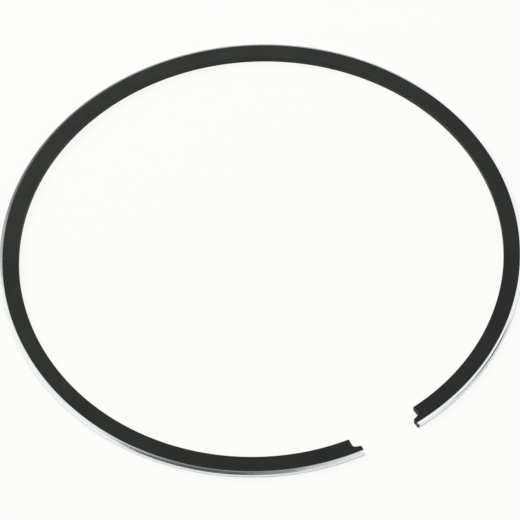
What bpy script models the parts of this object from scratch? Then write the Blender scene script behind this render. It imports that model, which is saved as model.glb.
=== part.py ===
# Piston ring of a small two-stroke engine, lying free on its lower side.
# Metres, +Z up. The back of the ring is at +Y, and its two ends meet at -Y.
# The origin is in the plane of the lower side, in the middle of the ring's length and width.
#
# The ring is one strip of metal. Its section is swept along the shape that a ring takes when
# it is out of its cylinder. The two notches that clasp the locating pin of the piston's
# groove are then cut into the inner side of its ends.

import math

import bmesh
import bpy
from mathutils import Matrix, Vector

# The cylinder that the ring is made for, and the section of the strip
cylinder_bore = 0.0720
radial_wall = 0.00289
axial_height = 0.00098

# The distance between the ends, in the cylinder and when the ring is free
fitted_gap = 0.00030
free_gap = 0.00824

# The edges: a large soft crown from the top into the running face, small ones along the other
# three sides, fine ones at the ends. No radius takes more than its share of the strip's height.
crown_radius = 0.00062
small_edge_radius = 0.00012
end_edge_break = 0.00004
edge_share = 0.8

# The notch at each end: its depth at the end face, its length along the strip, its inside
# corner, and the slope of its floor, which leaves the tongue thinner at its tip
notch_depth = 0.00168
notch_length = 0.00112
notch_corner_radius = 0.00034
notch_floor_slope = math.radians(15.0)

# The notch cutter passes every face that it cuts through by this much
cutter_overrun = 0.0010

# Fineness of the facets
steps_in_half = 120
crown_segments = 9
small_edge_segments = 3
notch_corner_segments = 6

# Edges that turn by more than the first angle are shaded sharp, and by more than the second broken
sharp_from = math.radians(35.0)
broken_from = math.radians(50.0)

# The two finishes, and how far outwards a face has to look to be a part of the bright one
phosphate_black = (0.032, 0.034, 0.032)
phosphate_roughness = 0.5
running_face_metal = (0.62, 0.64, 0.63)
running_face_roughness = 0.2
bright_from = 0.08


def remove_objects():
    for item in list(bpy.data.objects):
        bpy.data.objects.remove(item, do_unlink=True)


def make_material(name, colour, roughness, metallic):
    material = bpy.data.materials.new(name)
    material.use_nodes = True
    shader = material.node_tree.nodes["Principled BSDF"]
    shader.inputs["Base Color"].default_value = (*colour, 1.0)
    shader.inputs["Roughness"].default_value = roughness
    shader.inputs["Metallic"].default_value = metallic
    return material


def make_object(name, mesh, materials):
    """An object from a bmesh, which is used up."""
    data = bpy.data.meshes.new(name)
    mesh.to_mesh(data)
    mesh.free()
    for material in materials:
        data.materials.append(material)
    made = bpy.data.objects.new(name, data)
    bpy.context.collection.objects.link(made)
    return made


def arc(centre_x, centre_y, radius, start, end, segments):
    """Points on an arc of a plane drawing, both ends included. Angles in radians."""
    points = []
    for step in range(segments + 1):
        angle = start + (end - start) * step / segments
        points.append((centre_x + radius * math.cos(angle), centre_y + radius * math.sin(angle)))
    return points


def section_outline():
    """The strip's section: distance outwards from the middle of its wall, and height."""
    thickness = min(axial_height, radial_wall)
    crown = min(crown_radius, edge_share * thickness)
    small = min(small_edge_radius, edge_share * (thickness - crown), edge_share * thickness / 2)
    outer = radial_wall / 2
    inner = small - radial_wall / 2
    quarter = math.pi / 2
    outline = arc(outer - small, small, small, -quarter, 0, small_edge_segments)
    outline += arc(outer - crown, axial_height - crown, crown, 0, quarter, crown_segments)
    outline += arc(inner, axial_height - small, small, quarter, 2 * quarter, small_edge_segments)
    outline += arc(inner, small, small, 2 * quarter, 3 * quarter, small_edge_segments)
    return outline


def free_stations():
    """Stations along the middle of the wall, from the back of the ring to one of its ends.

    Each is x, y and the direction that the wall's outer side faces, as an angle from +Y.
    A ring that is to press evenly on its cylinder has, when free, the curvature
    (1 - k (1 + cos a)) / r at the angle a from its back, where r is the radius of the
    middle of its wall in the cylinder. Its ends then spring 3 pi k r apart.
    """
    middle_radius = (cylinder_bore - radial_wall) / 2
    slack = (free_gap - fitted_gap) / (3 * math.pi * middle_radius)
    step_angle = (math.pi - fitted_gap / 2 / middle_radius) / steps_in_half
    x, y, facing = 0.0, 0.0, 0.0
    stations = [(x, y, facing)]
    for step in range(steps_in_half):
        angle = (step + 0.5) * step_angle
        turn = step_angle * (1 - slack * (1 + math.cos(angle)))
        chord = 2 * middle_radius * step_angle / turn * math.sin(turn / 2)
        x += chord * math.cos(facing + turn / 2)
        y -= chord * math.sin(facing + turn / 2)
        facing += turn
        stations.append((x, y, facing))
    outer_reach = [y + radial_wall / 2 * math.cos(facing) for x, y, facing in stations]
    middle = (max(outer_reach) + min(outer_reach)) / 2
    return [(x, y - middle, facing) for x, y, facing in stations]


def station_frame(station):
    """A station's matrix: local X runs along the strip, Y outwards and Z up."""
    x, y, facing = station
    return Matrix.Translation((x, y, 0.0)) @ Matrix.Rotation(-facing, 4, "Z")


def mirror_across_ring(mesh):
    """Add the other half, across the plane through the back and the gap."""
    everything = mesh.verts[:] + mesh.edges[:] + mesh.faces[:]
    same_point = 0.00001
    bmesh.ops.mirror(mesh, geom=everything, axis="X", merge_dist=same_point)
    bmesh.ops.recalc_face_normals(mesh, faces=mesh.faces[:])


def swept_strip(stations):
    """Extrude the section from the back to one end, close that end and mirror the half."""
    mesh = bmesh.new()
    start = station_frame(stations[0])
    corners = [mesh.verts.new(start @ Vector((0.0, out, up))) for out, up in section_outline()]
    loop = [mesh.edges.new((corners[i - 1], corners[i])) for i in range(len(corners))]
    for here, there in zip(stations, stations[1:]):
        grown = bmesh.ops.extrude_edge_only(mesh, edges=loop)["geom"]
        moved = [item for item in grown if isinstance(item, bmesh.types.BMVert)]
        loop = [item for item in grown if isinstance(item, bmesh.types.BMEdge)]
        travel = station_frame(there) @ station_frame(here).inverted()
        bmesh.ops.transform(mesh, matrix=travel, verts=moved)
    bmesh.ops.contextual_create(mesh, geom=loop)
    mirror_across_ring(mesh)
    mark_running_face(mesh)
    return mesh


def mark_running_face(mesh):
    """Material 1 on every face that looks outwards: the running face, its crown and lower edge."""
    for face in mesh.faces:
        centre = face.calc_center_median()
        outwards = Vector((centre.x, centre.y, 0.0)).normalized()
        face.material_index = int(face.normal.dot(outwards) > bright_from)


def notch_outline():
    """The notch cutter seen from above, in the frame of the end: X past the end, Y outwards."""
    inner_side = -radial_wall / 2
    floor_at_end = inner_side + notch_depth
    rise = math.tan(notch_floor_slope)
    corner_x = notch_corner_radius - notch_length
    corner_y = floor_at_end + rise * corner_x - notch_corner_radius / math.cos(notch_floor_slope)
    floor_angle = math.pi / 2 + notch_floor_slope
    outline = [(-notch_length, inner_side - cutter_overrun)]
    outline += arc(corner_x, corner_y, notch_corner_radius, math.pi, floor_angle, notch_corner_segments)
    outline.append((cutter_overrun, floor_at_end + rise * cutter_overrun))
    outline.append((cutter_overrun, inner_side - cutter_overrun))
    return outline


def notch_cutters(end_station):
    """A prism through both sides of the strip at each end."""
    mesh = bmesh.new()
    frame = station_frame(end_station)
    base = [mesh.verts.new(frame @ Vector((along, out, -cutter_overrun))) for along, out in notch_outline()]
    floor = mesh.faces.new(base)
    raised = bmesh.ops.extrude_face_region(mesh, geom=[floor])["geom"]
    lifted = [item for item in raised if isinstance(item, bmesh.types.BMVert)]
    height = axial_height + 2 * cutter_overrun
    bmesh.ops.translate(mesh, vec=(0.0, 0.0, height), verts=lifted)
    mirror_across_ring(mesh)
    return mesh


def cut_notches(ring, cutters):
    cutters.display_type = "WIRE"
    cutters.hide_render = True
    cut = ring.modifiers.new("notches", "BOOLEAN")
    cut.operation = "DIFFERENCE"
    cut.solver = "EXACT"
    cut.object = cutters


def break_end_edges(ring):
    """A fine chamfer on the square edges of the ends and notches."""
    edges = ring.modifiers.new("end_edges", "BEVEL")
    edges.width = end_edge_break
    edges.segments = 1
    edges.limit_method = "ANGLE"
    edges.angle_limit = broken_from


def main():
    remove_objects()
    phosphate = make_material("black_phosphate", phosphate_black, phosphate_roughness, 0.0)
    bright = make_material("bright_running_face", running_face_metal, running_face_roughness, 1.0)
    stations = free_stations()
    ring = make_object("piston_ring", swept_strip(stations), [phosphate, bright])
    ring.data.shade_smooth()
    ring.data.set_sharp_from_angle(angle=sharp_from)
    cutters = make_object("notch_cutters", notch_cutters(stations[-1]), [phosphate])
    cut_notches(ring, cutters)
    break_end_edges(ring)


main()
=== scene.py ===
import math

import bmesh
import bpy
from mathutils import Matrix, Vector


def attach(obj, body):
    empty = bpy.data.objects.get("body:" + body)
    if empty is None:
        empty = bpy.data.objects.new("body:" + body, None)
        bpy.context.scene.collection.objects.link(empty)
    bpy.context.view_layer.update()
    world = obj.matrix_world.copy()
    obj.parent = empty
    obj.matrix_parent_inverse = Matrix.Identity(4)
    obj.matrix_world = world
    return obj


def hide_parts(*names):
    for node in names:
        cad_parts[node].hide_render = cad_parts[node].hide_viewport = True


# A piston ring of a small two-stroke engine, lying free on a white table. It is one strip of metal,
# black with phosphate and ground bright where it runs on the cylinder. Its back is at +Y and its
# two ends are at -Y. Metres, +Z up.

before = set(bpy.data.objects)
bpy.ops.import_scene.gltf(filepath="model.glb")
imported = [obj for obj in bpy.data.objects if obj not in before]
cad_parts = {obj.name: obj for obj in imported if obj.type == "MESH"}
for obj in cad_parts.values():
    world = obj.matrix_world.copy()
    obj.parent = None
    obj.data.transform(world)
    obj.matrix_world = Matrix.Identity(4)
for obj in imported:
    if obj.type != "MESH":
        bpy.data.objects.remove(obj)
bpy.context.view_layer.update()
print("frame loaded:", sorted(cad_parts))


def addNode(tree, kind, **settings):
    node = tree.nodes.new(kind)
    for name, value in settings.items():
        setattr(node, name, value)
    return node


def setSockets(node, *inOrder, **named):
    # each input gets a value, or a link from another node's output
    sockets = list(zip(node.inputs, inOrder))
    sockets += [(node.inputs[name.replace("_", " ")], given) for name, given in named.items()]
    for socket, given in sockets:
        if isinstance(given, bpy.types.NodeSocket):
            node.id_data.links.new(given, socket)
        else:
            socket.default_value = given
    return node


def calculate(tree, operation, *given):
    return setSockets(addNode(tree, "ShaderNodeMath", operation=operation), *given).outputs["Value"]


def measure(tree, operation, *vectors):
    node = addNode(tree, "ShaderNodeVectorMath", operation=operation)
    return setSockets(node, *vectors).outputs["Value"]


def mapRange(tree, value, given, wanted=(0.0, 1.0), **settings):
    node = addNode(tree, "ShaderNodeMapRange", **settings)
    setSockets(node, Value=value, From_Min=given[0], From_Max=given[1], To_Min=wanted[0], To_Max=wanted[1])
    return node.outputs["Result"]


def mix(tree, kind, share, first, second):
    node = addNode(tree, "ShaderNodeMix", data_type=kind)
    return setSockets(node, Factor=share, A=first, B=second).outputs["Result"]


def noise(tree, place, size, detail, roughness):
    node = addNode(tree, "ShaderNodeTexNoise")
    return setSockets(node, Vector=place, Scale=1 / size, Detail=detail, Roughness=roughness).outputs["Fac"]


def bump(tree, height, distance, strength):
    node = addNode(tree, "ShaderNodeBump")
    return setSockets(node, Height=height, Distance=distance, Strength=strength).outputs["Normal"]


def newMaterial(name):
    material = bpy.data.materials.new(name)
    material.use_nodes = True
    return material, material.node_tree, material.node_tree.nodes["Principled BSDF"]


def newObject(name, mesh, materials):
    data = bpy.data.meshes.new(name)
    mesh.to_mesh(data)
    mesh.free()
    for material in materials:
        data.materials.append(material)
    made = bpy.data.objects.new(name, data)
    bpy.context.scene.collection.objects.link(made)
    return made


def direction(azimuth, elevation):
    # angles in degrees, from +X and above the table
    azimuth, elevation = math.radians(azimuth), math.radians(elevation)
    return Vector((math.cos(azimuth) * math.cos(elevation), math.sin(azimuth) * math.cos(elevation),
                   math.sin(elevation)))


def facing(place, target):
    return Matrix.Translation(place) @ (target - place).to_track_quat("-Z", "Y").to_matrix().to_4x4()


# The camera

view = {
    "azimuth": -118.65,           # where the camera stands, in degrees
    "elevation": 55.900,
    "distance": 0.513145,
    "aim": (-0.0006465, -0.0012364, 0.0),   # the point of the table in the middle of the picture
    "roll": -1.388,
    "lens": 248.54,               # millimetres, as the sensor
    "sensor": 36.0,
    "nearest": 0.01,
}


def makeCamera(view):
    data = bpy.data.cameras.new("camera")
    data.lens = view["lens"]
    data.sensor_width = view["sensor"]
    data.clip_start = view["nearest"]
    camera = bpy.data.objects.new("camera", data)
    bpy.context.scene.collection.objects.link(camera)
    place = direction(view["azimuth"], view["elevation"]) * view["distance"]
    roll = Matrix.Rotation(math.radians(view["roll"]), 4, "Z")
    camera.matrix_world = facing(place, Vector(view["aim"])) @ roll
    bpy.context.scene.camera = camera


makeCamera(view)
print("camera placed")


# The studio: three softboxes that the ring mirrors, a lamp that only lights it and the white table,
# and a dark card in front of one softbox, which only the ring mirrors. The panels of a light are in
# one plane that faces the ring's middle. Their edges are measured in that plane from the point that
# the middle faces, as seen from behind the light.

lights = {
    "right": {
        "azimuth": -15.6,
        "tilt": 42.9,
        "distance": 0.52,
        "panels": (               # left, right, lower and upper edge, and radiance, where 1 is white
            (-1.907, -0.282, -0.48, 0.480, 0.10),
            (-0.282, 0.939, -0.48, 0.480, 1.05),
        ),
        "tint": (1.0, 1.0, 1.0),
        "reflected": True,        # whether the ring mirrors it or is only lit by it
    },
    "front": {
        "azimuth": -72.0,
        "tilt": 0.0,
        "distance": 0.52,
        "panels": (
            (-0.620, -0.330, 0.00, 0.75, 0.17),
            (-0.620, -0.330, 0.75, 2.20, 0.25),
            (-0.330, -0.170, 0.00, 0.12, 0.35),
            (-0.330, -0.170, 0.12, 0.75, 0.67),
            (-0.170, 0.200, 0.00, 0.12, 0.60),
            (-0.170, 0.200, 0.12, 0.75, 0.84),
        ),
        "tint": (1.0, 1.0, 1.0),
        "reflected": True,
    },
    "left": {
        "azimuth": 141.6,
        "tilt": 19.4,
        "distance": 0.52,
        "panels": (
            (-0.200, 0.640, -0.18, 0.189, 1.05),
            (-0.408, 0.340, 0.189, 0.430, 1.00),
            (-0.408, 0.180, 0.430, 0.787, 1.00),
            (0.340, 0.500, 0.189, 0.787, 0.24),
            (-0.900, -0.408, -0.180, 0.787, 0.22),
        ),
        "tint": (0.975, 1.0, 0.97),
        "reflected": True,
    },
    "lamp": {
        "azimuth": 112.0,
        "tilt": 35.0,
        "distance": 0.60,
        "panels": ((-0.20, 0.20, -0.20, 0.20, 6.0),),
        "tint": (1.0, 1.0, 1.0),
        "reflected": False,
    },
}

card = {
    "azimuth": -32.0,
    "distance": 0.30,
    "width": 0.105,
    "height": 0.160,
    "colour": (0.03, 0.03, 0.03, 1.0),
    "roughness": 0.9,
}

table = {
    "size": 6.0,
    "wallDistance": 2.9,          # a low white wall all round, which a view from the side ends on
    "wallHeight": 0.45,
    "wallSegments": 96,
    "colour": (0.97, 0.97, 0.96, 1.0),
    "roughness": 0.9,
    # A share of its white is the same in light and in shade. The two values of each are for the
    # table as the camera sees it and for the table as the ring mirrors it.
    "glow": (0.92, 0.12),
    "glowStrength": (0.963, 1.15),
    "glowColour": (1.0, 1.0, 0.982, 1.0),
}

roomColour = (0.115, 0.127, 0.132, 1.0)


def makeLight(name, light):
    plane = facing(direction(light["azimuth"], light["tilt"]) * light["distance"], Vector((0, 0, 0)))
    for left, right, low, high, radiance in light["panels"]:
        data = bpy.data.lights.new(name + "_light", "AREA")
        data.shape = "RECTANGLE"
        data.size, data.size_y = right - left, high - low
        data.energy = radiance * math.pi * data.size * data.size_y
        data.color = light["tint"]
        panel = bpy.data.objects.new(name + "_light", data)
        bpy.context.scene.collection.objects.link(panel)
        panel.matrix_world = plane @ Matrix.Translation(((left + right) / 2, (low + high) / 2, 0))
        panel.visible_camera = False
        panel.visible_glossy = light["reflected"]


def makeCard(card):
    mesh = bmesh.new()
    bmesh.ops.create_grid(mesh, x_segments=1, y_segments=1, size=0.5)
    bmesh.ops.scale(mesh, vec=(card["height"], card["width"], 1.0), verts=mesh.verts)
    standing = Matrix.Rotation(math.pi / 2, 4, "Y")
    placed = Matrix.Translation((card["distance"], 0, card["height"] / 2))
    turned = Matrix.Rotation(math.radians(card["azimuth"]), 4, "Z")
    bmesh.ops.transform(mesh, matrix=turned @ placed @ standing, verts=mesh.verts)
    material, tree, shader = newMaterial("dark_card")
    setSockets(shader, Base_Color=card["colour"], Roughness=card["roughness"], Specular_IOR_Level=0.0)
    made = newObject("dark_card", mesh, [material])
    made.visible_camera = False
    made.visible_diffuse = False
    made.visible_shadow = False


def makeTable(table):
    mesh = bmesh.new()
    bmesh.ops.create_grid(mesh, x_segments=1, y_segments=1, size=table["size"] / 2)
    bmesh.ops.create_cone(mesh, segments=table["wallSegments"], radius1=table["wallDistance"],
                          radius2=table["wallDistance"], depth=2 * table["wallHeight"])
    material, tree, shader = newMaterial("white_table")
    setSockets(shader, Base_Color=table["colour"], Roughness=table["roughness"], Specular_IOR_Level=0.0)
    rays = addNode(tree, "ShaderNodeLightPath").outputs
    share, strength = [
        calculate(tree, "MULTIPLY_ADD", rays["Is Glossy Ray"], mirrored,
                  calculate(tree, "MULTIPLY", rays["Is Camera Ray"], seen))
        for seen, mirrored in (table["glow"], table["glowStrength"])]
    glow = setSockets(addNode(tree, "ShaderNodeEmission"), Color=table["glowColour"], Strength=strength)
    mixed = setSockets(addNode(tree, "ShaderNodeMixShader"), share, shader.outputs["BSDF"],
                       glow.outputs["Emission"])
    setSockets(tree.nodes["Material Output"], Surface=mixed.outputs["Shader"])
    newObject("table", mesh, [material])


def setRoom(colour):
    world = bpy.context.scene.world or bpy.data.worlds.new("room")
    bpy.context.scene.world = world
    world.use_nodes = True
    setSockets(world.node_tree.nodes["Background"], Color=colour, Strength=1.0)


for name, light in lights.items():
    makeLight(name, light)
makeCard(card)
makeTable(table)
setRoom(roomColour)
print("studio built")


# The ring's shape

ring = {
    "cylinderBore": 0.0720,
    "wall": 0.00289,
    "height": 0.00098,
    "fittedGap": 0.00030,         # between the ends when the ring is in the cylinder
    "freeGap": 0.00824,           # and when it is free
    "crown": 0.00062,             # radius of the running face's upper edge
    "heel": 0.00030,              # of its lower edge
    "smallEdge": 0.00012,         # of both inner edges
    "endEdge": 0.00004,           # of the edges at the ends and notches
    "notchDepth": 0.00168,        # at the end face, measured from the inner side
    "notchLength": 0.00112,
    "notchCorner": 0.00034,
    "notchSlope": 15.0,           # degrees, which leave the tongue thinner at its tip
    "overrun": 0.0010,            # how far the notch cutter passes each face
    "spans": 120,                 # arcs in each half of the ring, each with its own radius
    "stepsInSpan": 2,
    "crownSegments": 16,
    "heelSegments": 9,
    "smallEdgeSegments": 5,
    "notchCornerSegments": 10,
    "endEdgeSegments": 3,
    "samePoint": 0.000002,        # points of the two halves this close together are joined
    "brightFrom": 0.08,           # how far outwards a face has to look to be ground bright
    "sharpAngle": 35.0,           # edges that turn by more are shaded sharp
    "brokenAngle": 50.0,          # edges that turn by more are broken by endEdge
}


def outwards(turned):
    return Vector((math.sin(turned), math.cos(turned), 0.0))


def freeShape(ring):
    # From the back to one end: the start, each arc's centre and turn, and the end's frame, with X
    # along the strip and Y outwards. A ring that is to press evenly on its cylinder is straighter
    # at its back than at its ends when it is free.
    middle = (ring["cylinderBore"] - ring["wall"]) / 2
    slack = (ring["freeGap"] - ring["fittedGap"]) / (3 * math.pi * middle)
    length = (math.pi - ring["fittedGap"] / 2 / middle) / ring["spans"]
    place, turned, arcs = Vector((0.0, 0.0, 0.0)), 0.0, []
    for span in range(ring["spans"]):
        bend = 1 - slack * (1 + math.cos((span + 0.5) * length))
        centre = place - outwards(turned) * middle / bend
        turned += length * bend
        place = centre + outwards(turned) * middle / bend
        arcs.append((centre, length * bend))
    front = place + outwards(turned) * ring["wall"] / 2
    start = Vector((0.0, -(ring["wall"] / 2 + front.y) / 2, 0.0))
    end = Matrix.Translation(place + start) @ Matrix.Rotation(-turned, 4, "Z")
    return start, [(centre + start, turn) for centre, turn in arcs], end


def roundCorners(mesh, corners, radius, segments):
    # of a flat outline, each by an arc
    bmesh.ops.bevel(mesh, geom=corners, offset=radius, offset_type="OFFSET", affect="VERTICES",
                    segments=segments, profile=0.5, material=-1)


def stripSection(mesh, ring):
    # a face of the wall's size, stood across the strip with Y outwards, then only its outline
    bmesh.ops.create_grid(mesh, x_segments=1, y_segments=1, size=0.5)
    standing = Matrix.Rotation(-math.pi / 2, 3, "Y")
    bmesh.ops.rotate(mesh, cent=(0, 0, 0), matrix=standing, verts=mesh.verts)
    bmesh.ops.scale(mesh, vec=(1.0, ring["wall"], ring["height"]), verts=mesh.verts)
    bmesh.ops.translate(mesh, vec=(0, 0, ring["height"] / 2), verts=mesh.verts)
    crown = [corner for corner in mesh.verts if corner.co.y > 0 and corner.co.z > ring["height"] / 2]
    heel = [corner for corner in mesh.verts if corner.co.y > 0 and corner not in crown]
    inner = [corner for corner in mesh.verts if corner.co.y < 0]
    roundCorners(mesh, crown, ring["crown"], ring["crownSegments"])
    roundCorners(mesh, heel, ring["heel"], ring["heelSegments"])
    roundCorners(mesh, inner, ring["smallEdge"], ring["smallEdgeSegments"])
    bmesh.ops.delete(mesh, geom=mesh.faces[:], context="FACES_ONLY")


def mirrorHalf(mesh, ring):
    everything = mesh.verts[:] + mesh.edges[:] + mesh.faces[:]
    bmesh.ops.mirror(mesh, geom=everything, axis="X", merge_dist=ring["samePoint"])
    bmesh.ops.recalc_face_normals(mesh, faces=mesh.faces[:])


def makeStrip(ring, materials):
    start, arcs, end = freeShape(ring)
    mesh = bmesh.new()
    stripSection(mesh, ring)
    bmesh.ops.translate(mesh, vec=start, verts=mesh.verts)
    loop = mesh.edges[:]
    for centre, turn in arcs:
        spun = bmesh.ops.spin(mesh, geom=loop, cent=centre, axis=(0, 0, 1), angle=-turn,
                              steps=ring["stepsInSpan"], use_merge=False, use_normal_flip=False,
                              use_duplicate=False)
        loop = [item for item in spun["geom_last"] if isinstance(item, bmesh.types.BMEdge)]
    bmesh.ops.contextual_create(mesh, geom=loop)
    mirrorHalf(mesh, ring)
    for face in mesh.faces:
        centre = face.calc_center_median()
        away = Vector((centre.x, centre.y, 0.0)).normalized()
        face.material_index = int(face.normal.dot(away) > ring["brightFrom"])
        face.smooth = True
    return newObject("ring", mesh, materials)


def notchCutters(ring):
    # the outline seen from above in the end's frame, raised through both sides of the strip
    start, arcs, end = freeShape(ring)
    over = ring["overrun"]
    slope = math.tan(math.radians(ring["notchSlope"]))
    inside = -ring["wall"] / 2
    floor = inside + ring["notchDepth"]
    back = -ring["notchLength"]
    outline = ((back, inside - over), (back, floor + slope * back), (over, floor + slope * over),
               (over, inside - over))
    mesh = bmesh.new()
    corners = [mesh.verts.new((x, y, -over)) for x, y in outline]
    mesh.faces.new(corners)
    roundCorners(mesh, [corners[1]], ring["notchCorner"], ring["notchCornerSegments"])
    raised = bmesh.ops.extrude_face_region(mesh, geom=mesh.faces[:])["geom"]
    top = [item for item in raised if isinstance(item, bmesh.types.BMVert)]
    bmesh.ops.translate(mesh, vec=(0, 0, ring["height"] + 2 * over), verts=top)
    bmesh.ops.transform(mesh, matrix=end, verts=mesh.verts)
    mirrorHalf(mesh, ring)
    return mesh


def makeRing(ring, materials):
    made = makeStrip(ring, materials)
    cutter = newObject("notch_cutters", notchCutters(ring), materials[:1])
    cut = made.modifiers.new("notches", "BOOLEAN")
    cut.operation, cut.solver, cut.object = "DIFFERENCE", "EXACT", cutter
    edges = made.modifiers.new("end_edges", "BEVEL")
    edges.width, edges.segments = ring["endEdge"], ring["endEdgeSegments"]
    edges.limit_method, edges.angle_limit = "ANGLE", math.radians(ring["brokenAngle"])
    evaluated = bpy.context.evaluated_depsgraph_get()
    finished = bpy.data.meshes.new_from_object(made.evaluated_get(evaluated), preserve_all_data_layers=True,
                                               depsgraph=evaluated)
    made.modifiers.clear()
    made.data = finished
    bpy.data.objects.remove(cutter)
    made.data.set_sharp_from_angle(angle=math.radians(ring["sharpAngle"]))
    flat = made.modifiers.new("flat_sides", "WEIGHTED_NORMAL")
    flat.keep_sharp = True
    return made


# The ring's finishes. The noise of a crystal, cloud, line or patch is its size, detail and roughness.

phosphate = {
    "dark": (0.0054, 0.0063, 0.0050, 1.0),
    "light": (0.0150, 0.0175, 0.0141, 1.0),
    "mottling": (0.32, 0.68),     # where the noise turns dark and light
    "paintedSheenTowards": (-0.28, 0.96, 0.0),   # painted sheen: the coating is coloured lighter towards this side, darker opposite
    "reach": 0.036,
    "paintedSheen": (0.74, 1.42),        # painted sheen: colour scale from the darker side to the lighter one
    "roughness": (0.46, 0.62),
    "roughening": (0.3, 0.7),     # where the noise gives each end of it
    "shine": 0.25,
    "crystal": (0.00005, 2.0, 0.6),
    "cloud": (0.006, 4.0, 0.55),  # lighter and darker patches
    "crystalShare": 0.45,         # of the mottling; the rest is clouds
    "crystalHeight": 0.0000016,
    "bump": 0.5,
}

ground = {
    "colour": (0.71, 0.735, 0.725, 1.0),
    "paler": (0.76, 0.78, 0.77, 1.0),
    "roughness": (0.13, 0.23),
    "lining": (0.3, 0.7),         # where the noise gives each end of the colours and the roughness
    "spread": 0.5,                # the grinding lines spread a reflection across themselves
    "spreadTurn": 0.25,           # of a full turn
    "lineSize": (0.012, 0.012, 0.00003),    # how far one line runs, and its width
    "line": (1.0, 3.0, 0.65),
    "lineHeight": 0.0000004,
    "bump": 0.5,
    # Azimuth in degrees, how far below the top the coating thins, in micrometres, and how bare the
    # metal then is. Below 1, on the far side, the crown keeps part of the coating's colour there as
    # painted shade, which darkens its reflection
    "coatDepths": (
        (-180, 5, 1.0), (-163, 6, 1.0), (-148, 26, 1.0), (-126, 42, 1.0), (-104, 36, 1.0),
        (-74, 18, 1.0), (-59, 16, 1.0), (-44, 9, 1.0), (-29, 4, 1.0), (-14, 5, 1.0), (1, 7, 1.0),
        (16, 19, 1.0), (31, 22, 1.0), (46, 17, 1.0), (61, 16, 0.9), (76, 24, 0.6), (91, 30, 0.4),
        (106, 32, 0.2), (121, 32, 0.12), (136, 32, 0.18), (148, 24, 0.5), (160, 16, 1.0), (180, 5, 1.0),
    ),
    "coatEnd": (0.00042, 0.00055),   # below the top: from here the coating goes, and here it is gone
    "coatWander": 0.000004,
    "patch": (0.003, 3.0, 0.5),
    "endDarkPatch": (0.0, -0.00010, 0.00070),   # a dark patch in the coating's colour on one end: along, outwards and up
    "endDarkPatchRadius": (0.00016, 0.00026),
}

micrometre = 0.000001


def phosphateGroup(look):
    # colour, roughness and normal of the coating, with a painted sheen that makes one side lighter; both
    # materials show it
    tree = bpy.data.node_groups.new("phosphate_coating", "ShaderNodeTree")
    tree.interface.new_socket("Place", in_out="INPUT", socket_type="NodeSocketVector")
    tree.interface.new_socket("Colour", in_out="OUTPUT", socket_type="NodeSocketColor")
    tree.interface.new_socket("Roughness", in_out="OUTPUT", socket_type="NodeSocketFloat")
    tree.interface.new_socket("Normal", in_out="OUTPUT", socket_type="NodeSocketVector")
    place = addNode(tree, "NodeGroupInput").outputs["Place"]
    crystals = noise(tree, place, *look["crystal"])
    clouds = noise(tree, place, *look["cloud"])
    mottle = mapRange(tree, mix(tree, "FLOAT", look["crystalShare"], clouds, crystals), look["mottling"])
    colour = mix(tree, "RGBA", mottle, look["dark"], look["light"])
    # painted light: the colour is scaled lighter towards one side of the ring and darker towards the other,
    # a painted sheen
    along = measure(tree, "DOT_PRODUCT", place, look["paintedSheenTowards"])
    paintedSheen = mapRange(tree, along, (-look["reach"], look["reach"]), look["paintedSheen"])
    colourWithPaintedSheen = setSockets(addNode(tree, "ShaderNodeVectorMath", operation="SCALE"), Vector=colour, Scale=paintedSheen)
    setSockets(addNode(tree, "NodeGroupOutput"), Colour=colourWithPaintedSheen.outputs["Vector"],
               Roughness=mapRange(tree, crystals, look["roughening"], look["roughness"]),
               Normal=bump(tree, crystals, look["crystalHeight"], look["bump"]))
    return tree


def phosphateMaterial(look, coating):
    material, tree, shader = newMaterial("black_phosphate")
    place = addNode(tree, "ShaderNodeTexCoord").outputs["Object"]
    coat = setSockets(addNode(tree, "ShaderNodeGroup", node_tree=coating), Place=place).outputs
    setSockets(shader, Base_Color=coat["Colour"], Roughness=coat["Roughness"], Normal=coat["Normal"],
               Specular_IOR_Level=look["shine"])
    return material


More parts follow.
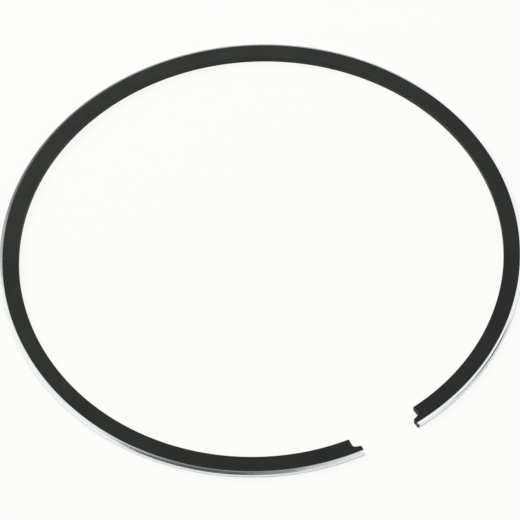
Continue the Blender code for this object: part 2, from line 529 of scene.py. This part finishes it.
def bareCrown(tree, place, look, ring):
    # 1 on the ground face, falling to 0 up the crown, where the grinding left the coating. On the far
    # side it stays below 1 on the crown down to coatEnd, and the coating's colour there is painted shade
    x, y, z = setSockets(addNode(tree, "ShaderNodeSeparateXYZ"), Vector=place).outputs
    around = mapRange(tree, calculate(tree, "ARCTAN2", y, x), (-math.pi, math.pi))
    border = setSockets(addNode(tree, "ShaderNodeValToRGB"), Fac=around)
    deepest = max(depth for azimuth, depth, barenessWithPaintedShade in look["coatDepths"])
    stops = border.color_ramp.elements
    for azimuth, depth, barenessWithPaintedShade in look["coatDepths"][1:-1]:
        stops.new((azimuth + 180) / 360)
    for stop, (azimuth, depth, barenessWithPaintedShade) in zip(stops, look["coatDepths"]):
        stop.color = (depth / deepest, barenessWithPaintedShade, 0.0, 1.0)
    channels = setSockets(addNode(tree, "ShaderNodeSeparateColor"), Color=border.outputs["Color"]).outputs
    top = ring["height"] + look["coatWander"] / 2
    lowest = calculate(tree, "MULTIPLY_ADD", channels["Red"], -deepest * micrometre, top)
    patches = noise(tree, place, *look["patch"])
    wandering = calculate(tree, "MULTIPLY_ADD", patches, look["coatWander"], z)
    # painted shade: the green channel, below 1 on the far side, keeps the crown partly in the coating's
    # colour and less metallic
    thinned = mapRange(tree, wandering, (top, lowest), (0.0, channels["Green"]))
    below = mapRange(tree, z, [ring["height"] - depth for depth in look["coatEnd"]])
    return calculate(tree, "MAXIMUM", thinned, below)


def endPatchMask(tree, place, look, ring):
    # 1, but 0 on a dark patch, in the coating's colour, on the end at +X
    start, arcs, end = freeShape(ring)
    middle = end @ (Vector((0.0, ring["wall"] / 2, 0.0)) + Vector(look["endDarkPatch"]))
    away = measure(tree, "DISTANCE", place, middle)
    return mapRange(tree, away, look["endDarkPatchRadius"], interpolation_type="SMOOTHSTEP")


def groundMaterial(look, coating, shine, ring):
    material, tree, shader = newMaterial("bright_ground_face")
    place = addNode(tree, "ShaderNodeTexCoord").outputs["Object"]
    coat = setSockets(addNode(tree, "ShaderNodeGroup", node_tree=coating), Place=place).outputs
    stretch = addNode(tree, "ShaderNodeMapping")
    setSockets(stretch, Vector=place, Scale=[1 / size for size in look["lineSize"]])
    lines = noise(tree, stretch.outputs["Vector"], *look["line"])
    metal = mix(tree, "RGBA", mapRange(tree, lines, look["lining"]), look["colour"], look["paler"])
    metalRough = mapRange(tree, lines, look["lining"], look["roughness"])
    bare = calculate(tree, "MULTIPLY", bareCrown(tree, place, look, ring), endPatchMask(tree, place, look, ring))
    setSockets(shader, Base_Color=mix(tree, "RGBA", bare, coat["Colour"], metal), Metallic=bare,
               Roughness=mix(tree, "FLOAT", bare, coat["Roughness"], metalRough),
               Normal=bump(tree, lines, look["lineHeight"], look["bump"]), Specular_IOR_Level=shine,
               Anisotropic=look["spread"], Anisotropic_Rotation=look["spreadTurn"])
    return material


coating = phosphateGroup(phosphate)
finishes = [phosphateMaterial(phosphate, coating),
            groundMaterial(ground, coating, phosphate["shine"], ring)]
print("finishes made")

ringPiece = makeRing(ring, finishes)
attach(ringPiece, "root")
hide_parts("piston_ring")
ringPiece.data.calc_loop_triangles()
print("ring made:", len(ringPiece.data.loop_triangles), "triangles")

bpy.context.scene.view_settings.view_transform = "Standard"
